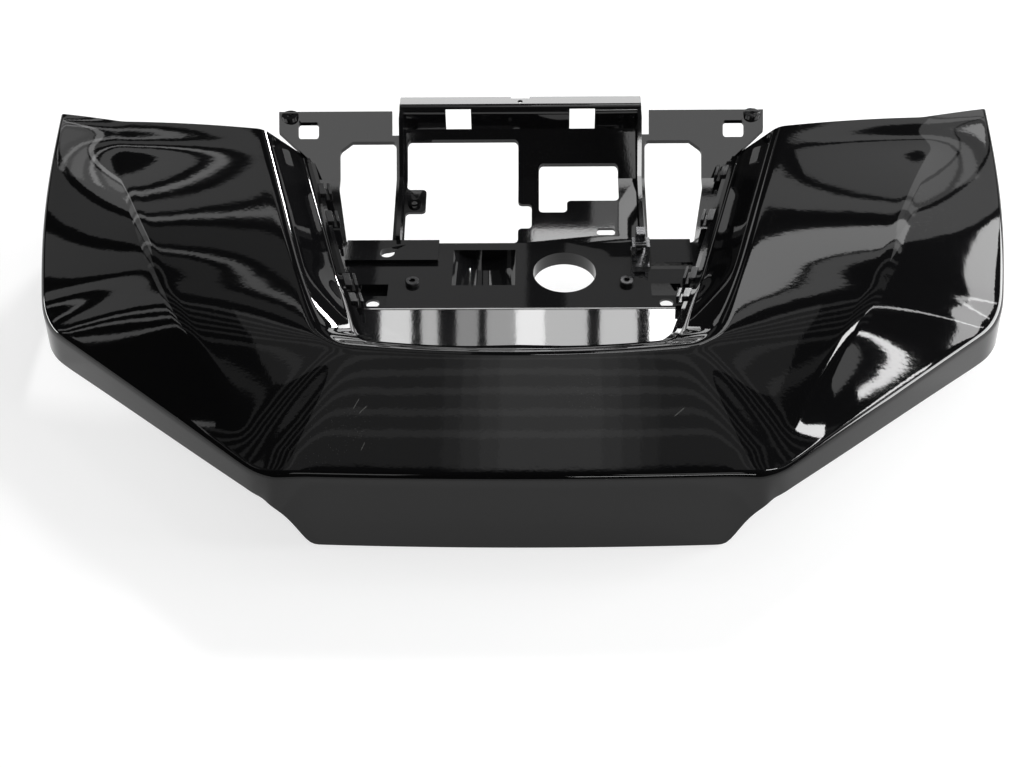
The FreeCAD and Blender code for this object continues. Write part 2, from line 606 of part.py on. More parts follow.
def latch_clip():
    """Latch clip on the tray floor: base, two ears, cross bar and hooked tongue."""
    x0, x1 = LATCH_X - LATCH_WIDE / 2, LATCH_X + LATCH_WIDE / 2
    y0, y1 = LATCH_Y - LATCH_LONG / 2, LATCH_Y + LATCH_LONG / 2
    top = FLOOR_Z + LATCH_TALL
    body = block(x0, x1, y0, y1, FLOOR_Z, FLOOR_Z + LATCH_BASE)
    body = body.fuse(block(x0, x0 + LATCH_WALL, y0 + 8, y1 - 8, FLOOR_Z, top - 6))
    body = body.fuse(block(x1 - LATCH_WALL, x1, y0 + 8, y1 - 8, FLOOR_Z, top - 6))
    bar = Part.makeCylinder(LATCH_WALL, LATCH_WIDE, V(x0, LATCH_Y, top - 9), V(1, 0, 0))
    body = body.fuse(bar)
    body = body.fuse(block(x0 + 4, x1 - 4, y1 - 4, y1, FLOOR_Z, top))
    body = body.fuse(block(x0 + 4, x1 - 4, y1 - 11, y1, top - LATCH_WALL, top))
    return body.removeSplitter()


def main():
    os.makedirs("parts", exist_ok=True)
    home = V(0, -FULL_DEPTH / 2, 0)
    shell = cover_shell()
    pieces = {
        "cover_shell": shell, "inner_tray": inner_tray(shell), "tray_screws": tray_screws(),
        "left_edge_clips": edge_clips(LEFT_CLIPS, -1),
        "right_edge_clips": edge_clips(RIGHT_CLIPS, 1), "latch_clip": latch_clip()}
    for name, shape in pieces.items():
        shape.translate(home)
        shape.exportStep("parts/" + name + ".step")


main()
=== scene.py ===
import logging
import math
from dataclasses import dataclass, field
from enum import Enum
from typing import Any, Callable, ClassVar, Dict, List, Optional, Sequence, Tuple, Union

import bmesh
import bpy
import numpy as np
from mathutils import Matrix, Vector


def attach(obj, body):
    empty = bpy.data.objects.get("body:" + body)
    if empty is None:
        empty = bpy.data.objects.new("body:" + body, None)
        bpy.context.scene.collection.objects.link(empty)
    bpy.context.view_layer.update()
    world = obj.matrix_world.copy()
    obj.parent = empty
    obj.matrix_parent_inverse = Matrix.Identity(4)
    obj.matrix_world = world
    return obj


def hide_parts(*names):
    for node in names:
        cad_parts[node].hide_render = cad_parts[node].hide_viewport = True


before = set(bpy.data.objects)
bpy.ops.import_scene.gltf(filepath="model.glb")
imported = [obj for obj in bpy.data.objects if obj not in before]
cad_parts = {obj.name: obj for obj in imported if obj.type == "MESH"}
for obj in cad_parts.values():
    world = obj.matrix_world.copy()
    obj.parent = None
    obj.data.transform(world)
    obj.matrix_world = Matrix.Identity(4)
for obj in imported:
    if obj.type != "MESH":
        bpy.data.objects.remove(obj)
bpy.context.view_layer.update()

LOG = logging.getLogger("front_cover")
Array = np.ndarray
Pair = Tuple[float, float]
Triple = Tuple[float, float, float]
Colour = Tuple[float, float, float, float]
MM = 0.001
FLAT = (1, 1, 0)
MIRROR = (-1, 1, 1)
SHARP_ANGLE = math.radians(38)
MERGE_DISTANCE = 1e-7


class Op(Enum):
    """Operations of a Math node, under the node's own names."""

    ADD = "ADD"
    SUBTRACT = "SUBTRACT"
    MULTIPLY = "MULTIPLY"
    MAXIMUM = "MAXIMUM"
    ABSOLUTE = "ABSOLUTE"


class Sock:
    """An output socket of a graph; arithmetic on it adds Math nodes."""

    def __init__(self, graph: "Graph", socket: bpy.types.NodeSocket) -> None:
        """Keep the graph and the socket."""
        self.graph = graph
        self.socket = socket

    def apply(self, operation: Op, *others: Union["Sock", float]) -> "Sock":
        """Add one Math node that starts from this value.

        Args:
            operation: what the node does.
            others: its further values.

        Returns:
            The node's result.
        """
        values = dict(enumerate((self, *others)))
        return self.graph.node("ShaderNodeMath", {"operation": operation.value}, values)

    def __add__(self, other: Union["Sock", float]) -> "Sock":
        """Sum with a value."""
        return self.apply(Op.ADD, other)

    def __sub__(self, other: Union["Sock", float]) -> "Sock":
        """Difference to a value."""
        return self.apply(Op.SUBTRACT, other)

    def __rsub__(self, other: float) -> "Sock":
        """A number less this value."""
        return (self * -1.0) + other

    def __mul__(self, other: Union["Sock", float]) -> "Sock":
        """Product with a value."""
        return self.apply(Op.MULTIPLY, other)

    def larger(self, other: Union["Sock", float]) -> "Sock":
        """Larger of two values."""
        return self.apply(Op.MAXIMUM, other)

    def size(self) -> "Sock":
        """Absolute value."""
        return self.apply(Op.ABSOLUTE)

    def between(self, low: float, high: float) -> "Sock":
        """Share of the way between two values, eased and held at nought and one.

        Args:
            low: value at which the share is nought.
            high: value at which the share is one.

        Returns:
            The share.
        """
        return self.graph.node(
            "ShaderNodeMapRange", {"interpolation_type": "SMOOTHSTEP"},
            {"Value": self, "From Min": low, "From Max": high})


class Graph:
    """Node tree of one material."""

    def __init__(self, name: str) -> None:
        """Start an empty material.

        Args:
            name: the material's name.
        """
        self.material = bpy.data.materials.new(name)
        self.material.use_nodes = True
        self.tree = self.material.node_tree
        self.tree.nodes.clear()

    def node(self, kind: str, settings: Dict[str, Any], inputs: Dict[Union[int, str], Any],
             output: Union[int, str] = 0) -> Sock:
        """Add any node: its settings first, then the values or links of its sockets.

        Args:
            kind: Blender's name of the node type.
            settings: attributes to set.
            inputs: socket name or index, and the value or socket that feeds it.
            output: which output to return.

        Returns:
            That output as a Sock.
        """
        made = self.tree.nodes.new(kind)
        for key, value in settings.items():
            setattr(made, key, value)
        for key, value in inputs.items():
            if isinstance(value, Sock):
                self.tree.links.new(value.socket, made.inputs[key])
            else:
                made.inputs[key].default_value = value
        return Sock(self, made.outputs[output])

    def outputs(self, kind: str, inputs: Dict[Union[int, str], Any],
                names: Sequence[str]) -> List[Sock]:
        """Add a node and take several of its outputs.

        Args:
            kind: Blender's name of the node type.
            inputs: socket name or index, and the value or socket that feeds it.
            names: the outputs to take.

        Returns:
            Those outputs, in the same order.
        """
        made = self.node(kind, {}, inputs).socket.node
        return [Sock(self, made.outputs[name]) for name in names]

    def place(self) -> Sock:
        """Object coordinates."""
        return self.node("ShaderNodeTexCoord", {}, {}, "Object")

    def blend(self, share: Sock, first: Colour, last: Colour) -> Sock:
        """Colour between two colours."""
        return self.node("ShaderNodeMix", {"data_type": "RGBA"}, {0: share, 6: first, 7: last}, 2)

    def bump(self, height: Sock, strength: float, distance: float) -> Sock:
        """Normal that a height gives."""
        return self.node("ShaderNodeBump", {},
                         {"Height": height, "Strength": strength, "Distance": distance})

    def finish(self, shader: Sock) -> bpy.types.Material:
        """End the graph in a shader.

        Args:
            shader: output of the last shader node.

        Returns:
            The finished material.
        """
        end = self.tree.nodes.new("ShaderNodeOutputMaterial")
        self.tree.links.new(shader.socket, end.inputs["Surface"])
        return self.material

    def surface(self, inputs: Dict[str, Any]) -> bpy.types.Material:
        """End the graph in one principled shader with these inputs."""
        return self.finish(self.node("ShaderNodeBsdfPrincipled", {}, inputs))


@dataclass(frozen=True)
class Noise:
    """Noise texture: cycles a metre, octaves, their falloff and a stretch of the axes."""

    scale: float
    detail: float
    falloff: float = 0.5
    stretch: Optional[Triple] = None

    def value(self, graph: Graph, place: Sock) -> Sock:
        """Add the texture to a graph.

        Args:
            graph: graph of the material.
            place: coordinates.

        Returns:
            The noise value.
        """
        if self.stretch:
            place = graph.node("ShaderNodeVectorMath", {"operation": "MULTIPLY"},
                               {0: place, 1: self.stretch})
        return graph.node("ShaderNodeTexNoise", {}, {
            "Vector": place, "Scale": self.scale, "Detail": self.detail,
            "Roughness": self.falloff})


@dataclass(frozen=True)
class Dust:
    """Fine grains that gather in patches."""

    grain_scale: float
    grain_size: Pair
    patches: Noise
    patch_span: Pair
    strength: float

    def mask(self, graph: Graph, place: Sock) -> Sock:
        """Value that is highest on a grain inside a patch.

        Args:
            graph: graph of the material.
            place: coordinates.

        Returns:
            The mask.
        """
        spots = graph.node("ShaderNodeTexVoronoi", {}, {"Vector": place, "Scale": self.grain_scale})
        grains = 1 - spots.between(*self.grain_size)
        return grains * self.patches.value(graph, place).between(*self.patch_span) * self.strength


@dataclass(frozen=True)
class Mark:
    """A straight scratch on the shell, in plan, that fades over a span of its length."""

    start: Pair
    end: Pair
    width: float
    fade: Pair = (0.3, 0.5)

    def mask(self, across: Sock, along: Sock) -> Sock:
        """Value that is one on the scratch.

        Args:
            across: X coordinate.
            along: Y coordinate.

        Returns:
            Mask that fades over the width and at both ends.
        """
        run = np.subtract(self.end, self.start)
        length = float(np.hypot(*run))
        ux, uy = (float(v) / length for v in run)
        dx, dy = across - self.start[0], along - self.start[1]
        side = (dx * -uy + dy * ux).size()
        ahead = (dx * ux + dy * uy - length / 2).size()
        near, far = (length * share for share in self.fade)
        return (1 - side.between(0, self.width)) * (1 - ahead.between(near, far))


@dataclass(frozen=True)
class ShellGloss:
    """Deep black gloss moulding with faint ripple, smudges, dust and a few scratches."""

    name: str = "shell_gloss"
    black: Colour = (0.003, 0.003, 0.0033, 1.0)
    pale: Colour = (0.16, 0.16, 0.155, 1.0)
    ior: float = 1.42
    rough: float = 0.01
    smudge: Noise = Noise(16.0, 5.0, 0.6, (1.0, 1.6, 1.0))
    smudge_rough: float = 0.04
    dust: Dust = Dust(420.0, (0.05, 0.16), Noise(9.0, 4.0), (0.56, 0.74), 0.5)
    dust_rough: float = 0.3
    scratch_rough: float = 0.35
    scratch_pale: float = 0.55
    wave: Noise = Noise(34.0, 1.0)
    wave_height: float = 0.6
    peel: Noise = Noise(310.0, 2.0)
    peel_height: float = 0.12
    bump: Pair = (0.12, 0.0006)
    marks: Tuple[Mark, ...] = (
        Mark((-0.131, -0.154), (-0.124, -0.146), 0.0008),
        Mark((-0.136, -0.150), (-0.131, -0.139), 0.0006),
        Mark((-0.127, -0.187), (-0.124, -0.179), 0.0006),
        Mark((0.128, -0.157), (0.138, -0.148), 0.0007))

    def build(self) -> bpy.types.Material:
        """Make the material: gloss broken by smudges, dust grains and scratches.

        Returns:
            The finished material.
        """
        graph = Graph(self.name)
        place = graph.place()
        x, y = graph.outputs("ShaderNodeSeparateXYZ", {0: place}, ("X", "Y"))
        scratch = self.marks[0].mask(x, y)
        for mark in self.marks[1:]:
            scratch = scratch.larger(mark.mask(x, y))
        lint = self.dust.mask(graph, place)
        spoiled = scratch * self.scratch_rough + lint * self.dust_rough
        rough = self.smudge.value(graph, place) * self.smudge_rough + spoiled + self.rough
        ripple = (self.wave.value(graph, place) * self.wave_height
                  + self.peel.value(graph, place) * self.peel_height)
        paleness = (scratch * self.scratch_pale).larger(lint)
        return graph.surface({
            "Base Color": graph.blend(paleness, self.black, self.pale),
            "Roughness": rough, "IOR": self.ior, "Normal": graph.bump(ripple, *self.bump)})


@dataclass(frozen=True)
class TrayGloss:
    """Black carrier moulding: gloss as it leaves the tool, with flow marks and dust."""

    name: str = "tray_gloss"
    black: Colour = (0.006, 0.006, 0.0065, 1.0)
    pale: Colour = (0.12, 0.12, 0.115, 1.0)
    ior: float = 1.5
    coat: float = 0.2
    coat_rough: float = 0.02
    rough: float = 0.01
    flow: Noise = Noise(26.0, 4.0, 0.6, (1.0, 0.35, 1.0))
    flow_rough: float = 0.05
    flow_height: float = 0.5
    grain: Noise = Noise(520.0, 2.0)
    grain_height: float = 0.12
    dust: Dust = Dust(480.0, (0.05, 0.17), Noise(14.0, 4.0), (0.5, 0.72), 0.6)
    dust_rough: float = 0.3
    bump: Pair = (0.09, 0.0006)

    def build(self) -> bpy.types.Material:
        """Make the material: gloss that varies with the melt's flow.

        Returns:
            The finished material.
        """
        graph = Graph(self.name)
        place = graph.place()
        flow = self.flow.value(graph, place)
        lint = self.dust.mask(graph, place)
        height = flow * self.flow_height + self.grain.value(graph, place) * self.grain_height
        return graph.surface({
            "Base Color": graph.blend(lint, self.black, self.pale),
            "Roughness": flow * self.flow_rough + lint * self.dust_rough + self.rough,
            "IOR": self.ior, "Coat Weight": self.coat, "Coat Roughness": self.coat_rough,
            "Normal": graph.bump(height, *self.bump)})


@dataclass(frozen=True)
class ClipSatin:
    """Tough black clip plastic with a fine spark-eroded grain."""

    name: str = "clip_black"
    black: Colour = (0.016, 0.016, 0.017, 1.0)
    rubbed: Colour = (0.05, 0.05, 0.05, 1.0)
    ior: float = 1.5
    rough: float = 0.3
    grain: Noise = Noise(1500.0, 2.0)
    grain_rough: float = 0.12
    rub: Noise = Noise(90.0, 4.0)
    rub_span: Pair = (0.52, 0.72)
    rub_pale: float = 0.6
    rub_gloss: float = 0.1
    bump: Pair = (0.25, 0.0003)

    def build(self) -> bpy.types.Material:
        """Make the material: satin, with rubbed patches.

        Returns:
            The finished material.
        """
        graph = Graph(self.name)
        place = graph.place()
        grain = self.grain.value(graph, place)
        rub = self.rub.value(graph, place).between(*self.rub_span)
        return graph.surface({
            "Base Color": graph.blend(rub * self.rub_pale, self.black, self.rubbed),
            "Roughness": grain * self.grain_rough - rub * self.rub_gloss + self.rough,
            "IOR": self.ior, "Normal": graph.bump(grain, *self.bump)})


@dataclass(frozen=True)
class MetalFinish:
    """Metal with fine drawn lines and a little wear."""

    name: str
    low: Colour
    high: Colour
    rough: float
    metal: float
    lines: Noise
    line_pale: float = 0.6
    line_rough: float = 0.16
    wear: Noise = Noise(160.0, 4.0)
    wear_span: Pair = (0.45, 0.7)
    wear_pale: float = 0.4
    wear_gloss: float = 0.06
    bump: Pair = (0.15, 0.0003)

    def build(self) -> bpy.types.Material:
        """Make the material: drawn lines drive colour, gloss and a slight bump.

        Returns:
            The finished material.
        """
        graph = Graph(self.name)
        place = graph.place()
        lines = self.lines.value(graph, place)
        wear = self.wear.value(graph, place).between(*self.wear_span)
        share = lines * self.line_pale + wear * self.wear_pale
        return graph.surface({
            "Base Color": graph.blend(share, self.low, self.high),
            "Roughness": lines * self.line_rough + (self.rough - wear * self.wear_gloss),
            "Metallic": self.metal, "Normal": graph.bump(lines, *self.bump)})


SCREW_BLACK = MetalFinish("screw_black", (0.012, 0.012, 0.013, 1.0), (0.05, 0.05, 0.052, 1.0),
                          0.36, 0.7, Noise(60.0, 4.0, 0.65, (1.0, 1.0, 8.0)))
LATCH_STEEL = MetalFinish("latch_steel", (0.05, 0.05, 0.052, 1.0), (0.16, 0.16, 0.165, 1.0),
                          0.2, 1.0, Noise(60.0, 4.0, 0.65, (1.0, 9.0, 9.0)))


def soften(line: Array, width: float) -> Array:
    """Running mean with a bell-shaped weight, odd about both ends so that they stay put.

    Args:
        line: values along the first axis.
        width: spread of the weight, in samples.

    Returns:
        The softened values.
    """
    reach = int(3 * width) + 1
    bell = np.exp(-0.5 * (np.arange(-reach, reach + 1) / width) ** 2)
    flat = line.reshape(len(line), -1)
    head = 2 * flat[:1] - flat[reach:0:-1]
    tail = 2 * flat[-1:] - flat[-2:-reach - 2:-1]
    padded = np.concatenate([head, flat, tail])
    soft = [np.convolve(column, bell / bell.sum(), "valid") for column in padded.T]
    return np.stack(soft, axis=1).reshape(line.shape)


def unit(vectors: Array) -> Array:
    """The same vectors with length one."""
    return vectors / np.linalg.norm(vectors, axis=-1, keepdims=True)


def held(values: Array, span: Pair) -> Array:
    """Share of the way across a span, held at nought and one."""
    return np.clip((values - span[0]) / (span[1] - span[0]), 0, 1)


class PlanPath:
    """Plan line of straight runs and tangent arcs, read by the length along it."""

    SAMPLES: ClassVar[int] = 241

    def __init__(self, corners: Sequence[Pair], radii: Sequence[float]) -> None:
        """Lay the runs and arcs.

        Args:
            corners: corners of the line before rounding.
            radii: radius at each inner corner.
        """
        spots = np.array(corners, float)
        share = np.linspace(0, 1, self.SAMPLES)[:, None]
        pieces: List[Array] = []
        start = spots[0]
        for here, before, after, radius in zip(spots[1:], spots, spots[2:], radii):
            back, ahead = unit(before - here), unit(after - here)
            half = math.acos(float(back @ ahead)) / 2
            first, last = (here + way * (radius / math.tan(half)) for way in (back, ahead))
            centre = here + unit(back + ahead) * (radius / math.sin(half))
            angle = math.pi - 2 * half
            near, far = np.sin((1 - share) * angle), np.sin(share * angle)
            arc = centre + ((first - centre) * near + (last - centre) * far) / math.sin(angle)
            pieces += [start + (first - start) * share, arc]
            start = last
        pieces.append(start + (spots[-1] - start) * share)
        self.points = np.concatenate(pieces)
        step = np.linalg.norm(np.diff(self.points, axis=0), axis=1)
        self.lengths = np.concatenate([[0.0], np.cumsum(step)])
        ends = np.cumsum([len(piece) for piece in pieces]) - 1
        self.marks = np.concatenate([[0.0], self.lengths[ends]])

    def at(self, length: Array) -> Array:
        """Points at lengths along the line."""
        columns = [np.interp(length, self.lengths, column) for column in self.points.T]
        return np.stack(columns, axis=1)

    def length(self, place: Array) -> Array:
        """Length at a place: whole part is the run, the rest its share."""
        return np.interp(place, np.arange(len(self.marks)), self.marks)

    def place(self, length: Array) -> Array:
        """Place at a length, the reverse of length."""
        return np.interp(length, self.marks, np.arange(len(self.marks)))

    def reach(self, depth: float) -> float:
        """Length at which the last run comes to a depth."""
        last = slice(-self.SAMPLES, None)
        return float(np.interp(depth, self.points[last, 1], self.lengths[last]))


@dataclass
class Skin:
    """Grid of points: rows run round the section, columns round the horseshoe."""

    rows: Array

    def normals(self) -> Array:
        """Outward normals: cross product of the steps along rows and columns."""
        down, round_ = np.gradient(self.rows, axis=0), np.gradient(self.rows, axis=1)
        return unit(np.cross(down, round_))


def make_object(name: str, points: Array, faces: Array) -> bpy.types.Object:
    """Put points and quads into a smooth mesh object at the origin.

    Args:
        name: object name.
        points: corners in metres.
        faces: four corner numbers a face.

    Returns:
        The object, linked to the scene.
    """
    mesh = bpy.data.meshes.new(name)
    mesh.from_pydata(points.reshape(-1, 3).tolist(), [], faces.reshape(-1, 4).tolist())
    work = bmesh.new()
    work.from_mesh(mesh)
    bmesh.ops.remove_doubles(work, verts=work.verts, dist=MERGE_DISTANCE)
    bmesh.ops.recalc_face_normals(work, faces=work.faces)
    work.to_mesh(mesh)
    work.free()
    mesh.polygons.foreach_set("use_smooth", np.ones(len(mesh.polygons), bool))
    mesh.set_sharp_from_angle(angle=SHARP_ANGLE)
    made = bpy.data.objects.new(name, mesh)
    bpy.context.scene.collection.objects.link(made)
    return made


@dataclass
class KeyLines:
    """Lines that the section's corners follow, left rear to right rear.

    With them go the crown over each ruling from ridge to outer crease, and the share of the way
    along it at which the wing crease crosses.
    """

    lip: Array
    foot: Array
    ridge: Array
    crease: Array
    outer: Array
    edge: Array
    crown: Array
    share: Array


@dataclass
class CoverShell:
    """Gloss outer moulding: sizes in millimetres, from the middle of the lip's foot."""

    wall: float = 3.0
    full_depth: float = 445.0
    run_out: float = 474.0
    lip_lean: float = 12.0
    lip_bow: float = 4.0
    lip_half: float = 208.0
    lip_round: float = 34.0
    lip_top: float = 72.0
    lip_foot_half: float = 174.0
    lip_step_half: float = 206.0
    corner: Pair = (436.0, 210.0)
    corner_round: float = 62.0
    corner_height: float = 64.0
    corner_places: Pair = (1.0, 3.0)
    side_bow: float = 7.4
    rear_half: float = 458.0
    wing_height: float = 138.0
    wing_depth: float = 440.0
    skirt_height: float = 30.0
    skirt_front: float = 45.0
    skirt_span: Pair = (225.0, 410.0)
    skirt_lean: float = 3.0
    skirt_places: Pair = (0.9, 1.5)
    ridge_front: float = 140.0
    ridge_bow: float = 10.0
    ridge_corner: float = 171.0
    ridge_round: float = 30.0
    ridge_rear: Pair = (249.0, 405.0)
    ridge_heights: Pair = (106.0, 148.0)
    rear_inner: float = 401.0
    wall_runs: Pair = (8.0, 32.0)
    wall_drops: Pair = (8.0, 30.0)
    wall_span: Pair = (150.0, 232.0)
    return_lip: float = 6.0
    crease_line: Triple = (170.7, 0.860, 0.000816)
    crease_rise: float = 20.0
    crease_span: Pair = (60.0, 400.0)
    crease_front: float = 0.9
    crease_limits: Pair = (0.2, 0.97)
    crease_halvings: int = 30
    rear_crease: float = 420.0
    pull_start: float = 300.0
    pull_past: float = 12.0
    crown_radius: float = 1500.0
    cuts: Tuple[float, float, float, float] = (2.5, 7.0, 8.0, 5.0)
    cut_limit: float = 2.4
    columns: int = 230
    facet_rows: Tuple[int, ...] = (3, 9, 22, 16, 8)
    corner_rows: int = 9
    station_soften: float = 9.0
    crease_soften: float = 5.0
    line_soften: Tuple[float, ...] = (3.0, 3.0, 3.0, 4.0, 2.5, 1.2)
    stations: Tuple[Pair, ...] = (
        (0.0, 0.0), (0.5, 0.52), (0.9, 0.93), (1.0, 1.1), (1.5, 1.3), (2.0, 1.5), (2.35, 1.75),
        (2.7, 2.0), (3.0, 2.1), (3.33, 2.22), (3.67, 2.29), (4.0, 2.36), (4.45, 2.62), (5.0, 3.0))
    made: Optional[bpy.types.Object] = field(default=None, init=False)

    def paths(self) -> Tuple[PlanPath, PlanPath, PlanPath]:
        """Lay the plan lines of the right half.

        The foot's corner radius is such that its arc ends at the same depth as the ridge's.

        Returns:
            Outer crease, ridge and wall foot.
        """
        lip = self.lip_lean + self.lip_bow
        corner_x, corner_y = self.corner
        lean = (self.rear_half - corner_x) / (self.wing_depth - corner_y)
        slope = (self.ridge_rear[0] - self.ridge_corner) / (self.ridge_rear[1] - self.ridge_front)
        foot_x = self.ridge_corner - self.wall_runs[1]
        foot_y = self.ridge_front + self.wall_runs[0]
        tilt = math.atan(slope)
        arc_depth = math.cos(tilt) / math.tan((math.pi / 2 + tilt) / 2)
        outer = PlanPath(
            [(0, lip), (self.lip_half, lip), self.corner,
             (corner_x + lean * (self.run_out - corner_y), self.run_out)],
            [self.lip_round, self.corner_round])
        ridge = PlanPath(
            [(0, self.ridge_front), (self.ridge_corner, self.ridge_front),
             (self.ridge_corner + slope * (self.run_out - self.ridge_front), self.run_out)],
            [self.ridge_round])
        foot = PlanPath(
            [(0, foot_y), (foot_x, foot_y),
             (foot_x + slope * (self.run_out - foot_y), self.run_out)],
            [self.ridge_round - self.wall_runs[0] / arc_depth])
        return outer, ridge, foot

    @staticmethod
    def bowed(points: Array, half: float, bow: float) -> Array:
        """Move the front forward by a parabola over its half width, and add a height of nought."""
        shift = bow * np.clip(1 - (points[:, 0] / half) ** 2, 0, 1)
        return np.stack([points[:, 0], points[:, 1] - shift, np.zeros(len(points))], axis=1)

    def ridge_lengths(self, outer: PlanPath, ridge: PlanPath, lengths: Array) -> Array:
        """Pair the ridge with the outer crease by the stations, softened and ended at the rear.

        Args:
            outer: plan line of the outer crease.
            ridge: plan line of the ridge.
            lengths: lengths along the outer crease.

        Returns:
            Lengths along the ridge that face them.
        """
        pairs = np.array(self.stations)
        facing = np.interp(lengths, outer.length(pairs[:, 0]), ridge.length(pairs[:, 1]))
        both = np.concatenate([-facing[:0:-1], facing])
        eased = soften(both, self.station_soften)[self.columns - 1:]
        return eased * (ridge.reach(self.rear_inner) / eased[-1])

    def inner_lines(self, ridge_path: PlanPath, foot_path: PlanPath,
                    lengths: Array) -> Tuple[Array, Array, Array]:
        """Lines round the opening: the ridge rises to the rear and the wall deepens with it.

        Args:
            ridge_path: plan line of the ridge.
            foot_path: plan line of the wall's foot.
            lengths: lengths along the ridge.

        Returns:
            Return lip, wall foot and ridge.
        """
        ridge = self.bowed(ridge_path.at(lengths), self.ridge_corner, self.ridge_bow)
        foot_lengths = foot_path.length(ridge_path.place(lengths))
        foot_half = self.ridge_corner - self.wall_runs[1]
        foot = self.bowed(foot_path.at(foot_lengths), foot_half, self.ridge_bow)
        low, high = self.ridge_heights
        rise = (ridge[:, 1] - self.ridge_front) / (self.ridge_rear[1] - self.ridge_front)
        ridge[:, 2] = low + (high - low) * rise
        front, side = self.wall_drops
        foot[:, 2] = ridge[:, 2] - front - (side - front) * held(ridge[:, 1], self.wall_span)
        inward = unit((foot - ridge) * FLAT)
        return foot + inward * self.return_lip, foot, ridge

    def outer_line(self, points: Array, place: Array) -> Tuple[Array, Array]:
        """Outer crease: falls from lip to corner, climbs the wing, and bows out by half a sine.

        Args:
            points: its points in plan.
            place: place of each point on the plan line.

        Returns:
            The line, and each point's share of the way along the wing's side.
        """
        outer = self.bowed(points, self.lip_half, self.lip_bow)
        along = held(outer[:, 1], (self.corner[1], self.wing_depth))
        outer[:, 0] += self.side_bow * np.sin(math.pi * along)
        fall = (self.corner_height - self.lip_top) * held(place, self.corner_places)
        outer[:, 2] = self.lip_top + fall + (self.wing_height - self.corner_height) * along
        return outer, along

    def crease_share(self, ridge: Array, outer: Array) -> Array:
        """Find where the wing crease crosses each ruling from ridge to outer crease.

        The crease is X = a + b Y - c Y squared in plan; each ruling is halved until it meets it.

        Args:
            ridge: ridge points in plan.
            outer: outer crease points in plan.

        Returns:
            Share of the way along each ruling.
        """
        a, b, c = self.crease_line

        def side(share: Array) -> Array:
            """How far past the crease a spot on each ruling lies."""
            spot = ridge + (outer - ridge) * share[:, None]
            return spot[:, 0] - (a + b * spot[:, 1] - c * spot[:, 1] ** 2)

        low, high = (np.full(len(ridge), limit) for limit in self.crease_limits)
        none = (side(low) > 0) | (side(high) < 0)
        for _ in range(self.crease_halvings):
            middle = (low + high) / 2
            short = side(middle) < 0
            low, high = np.where(short, middle, low), np.where(short, high, middle)
        return np.where(none, self.crease_front, low)

    def wing_crease(self, ridge: Array, outer: Array) -> Tuple[Array, Array, Array]:
        """Wing crease: raised over the ruling by half a sine and the crown, drawn in at the rear.

        Args:
            ridge: ridge points.
            outer: outer crease points.

        Returns:
            The crease, the crown over each ruling and the share at which the crease crosses it.
        """
        share = soften(self.crease_share(ridge * FLAT, outer * FLAT), self.crease_soften)
        crease = ridge + (outer - ridge) * share[:, None]
        swell = held(crease[:, 1], self.crease_span)
        crown = np.linalg.norm(outer - ridge, axis=1) ** 2 / (8 * self.crown_radius)
        crease[:, 2] += self.crease_rise * np.sin(math.pi * swell) + 4 * crown * share * (1 - share)
        back = held(crease[:, 1], (self.pull_start, self.rear_crease + self.pull_past))
        crease[:, 1] -= (crease[-1, 1] - self.rear_crease) * back ** 2 * (3 - 2 * back)
        return crease, crown, share

    def lower_edge(self, ridge: Array, outer: Array, place: Array, along: Array) -> Array:
        """Lower edge: on the floor under the lip, stepped up to the skirts, down along the wings.

        Args:
            ridge: ridge points.
            outer: outer crease points.
            place: place of each point on the outer crease's plan line.
            along: share of the way along the wing's side.

        Returns:
            The edge.
        """
        away = unit(outer * FLAT - ridge * FLAT)
        change = (self.skirt_lean - self.lip_lean) * held(place, self.skirt_places)
        edge = outer * FLAT + away * ((self.lip_lean + change) * (1 - along))[:, None]
        step = held(edge[:, 0], (self.lip_foot_half, self.lip_step_half))
        fall = (self.skirt_height - self.skirt_front) * held(edge[:, 0], self.skirt_span)
        edge[:, 2] = (self.skirt_front + fall) * step * (2 - step) * (1 - along)
        return edge

    def key_lines(self) -> KeyLines:
        """Work out the lines of the right half, mirror them and soften them.

        Returns:
            The key lines over the whole width.
        """
        outer_path, ridge_path, foot_path = self.paths()
        lengths = np.linspace(0, outer_path.reach(self.full_depth), self.columns)
        facing = self.ridge_lengths(outer_path, ridge_path, lengths)
        lip, foot, ridge = self.inner_lines(ridge_path, foot_path, facing)
        place = outer_path.place(lengths)
        outer, along = self.outer_line(outer_path.at(lengths), place)
        crease, crown, share = self.wing_crease(ridge, outer)
        edge = self.lower_edge(ridge, outer, place, along)
        halves = (lip, foot, ridge, crease, outer, edge)
        whole = [np.concatenate([half[:0:-1] * MIRROR, half]) for half in halves]
        lines = [soften(line, width) for line, width in zip(whole, self.line_soften)]
        values = [np.concatenate([half[:0:-1], half]) for half in (crown, share)]
        return KeyLines(*lines, *values)

    @staticmethod
    def bend(first: Array, middle: Array, last: Array, share: Array) -> Array:
        """Parabola from first to last that heads for middle at both ends.

        Args:
            first: start points.
            middle: control points.
            last: end points.
            share: shares along the curve, one row each.

        Returns:
            Rows of points.
        """
        s = share.reshape(len(share), -1, 1)
        return (1 - s) ** 2 * first + 2 * s * (1 - s) * middle + s ** 2 * last

    def cut_shares(self, facets: Sequence[Tuple[Array, Array, Array]]) -> List[Array]:
        """Share of each facet that a corner's cut takes.

        Args:
            facets: first, middle and last points of each facet, one facet for each cut.

        Returns:
            The shares, held below one over the cut limit.
        """
        return [cut / np.linalg.norm(last - first, axis=1).clip(self.cut_limit * cut)
                for cut, (first, _, last) in zip(self.cuts, facets)]

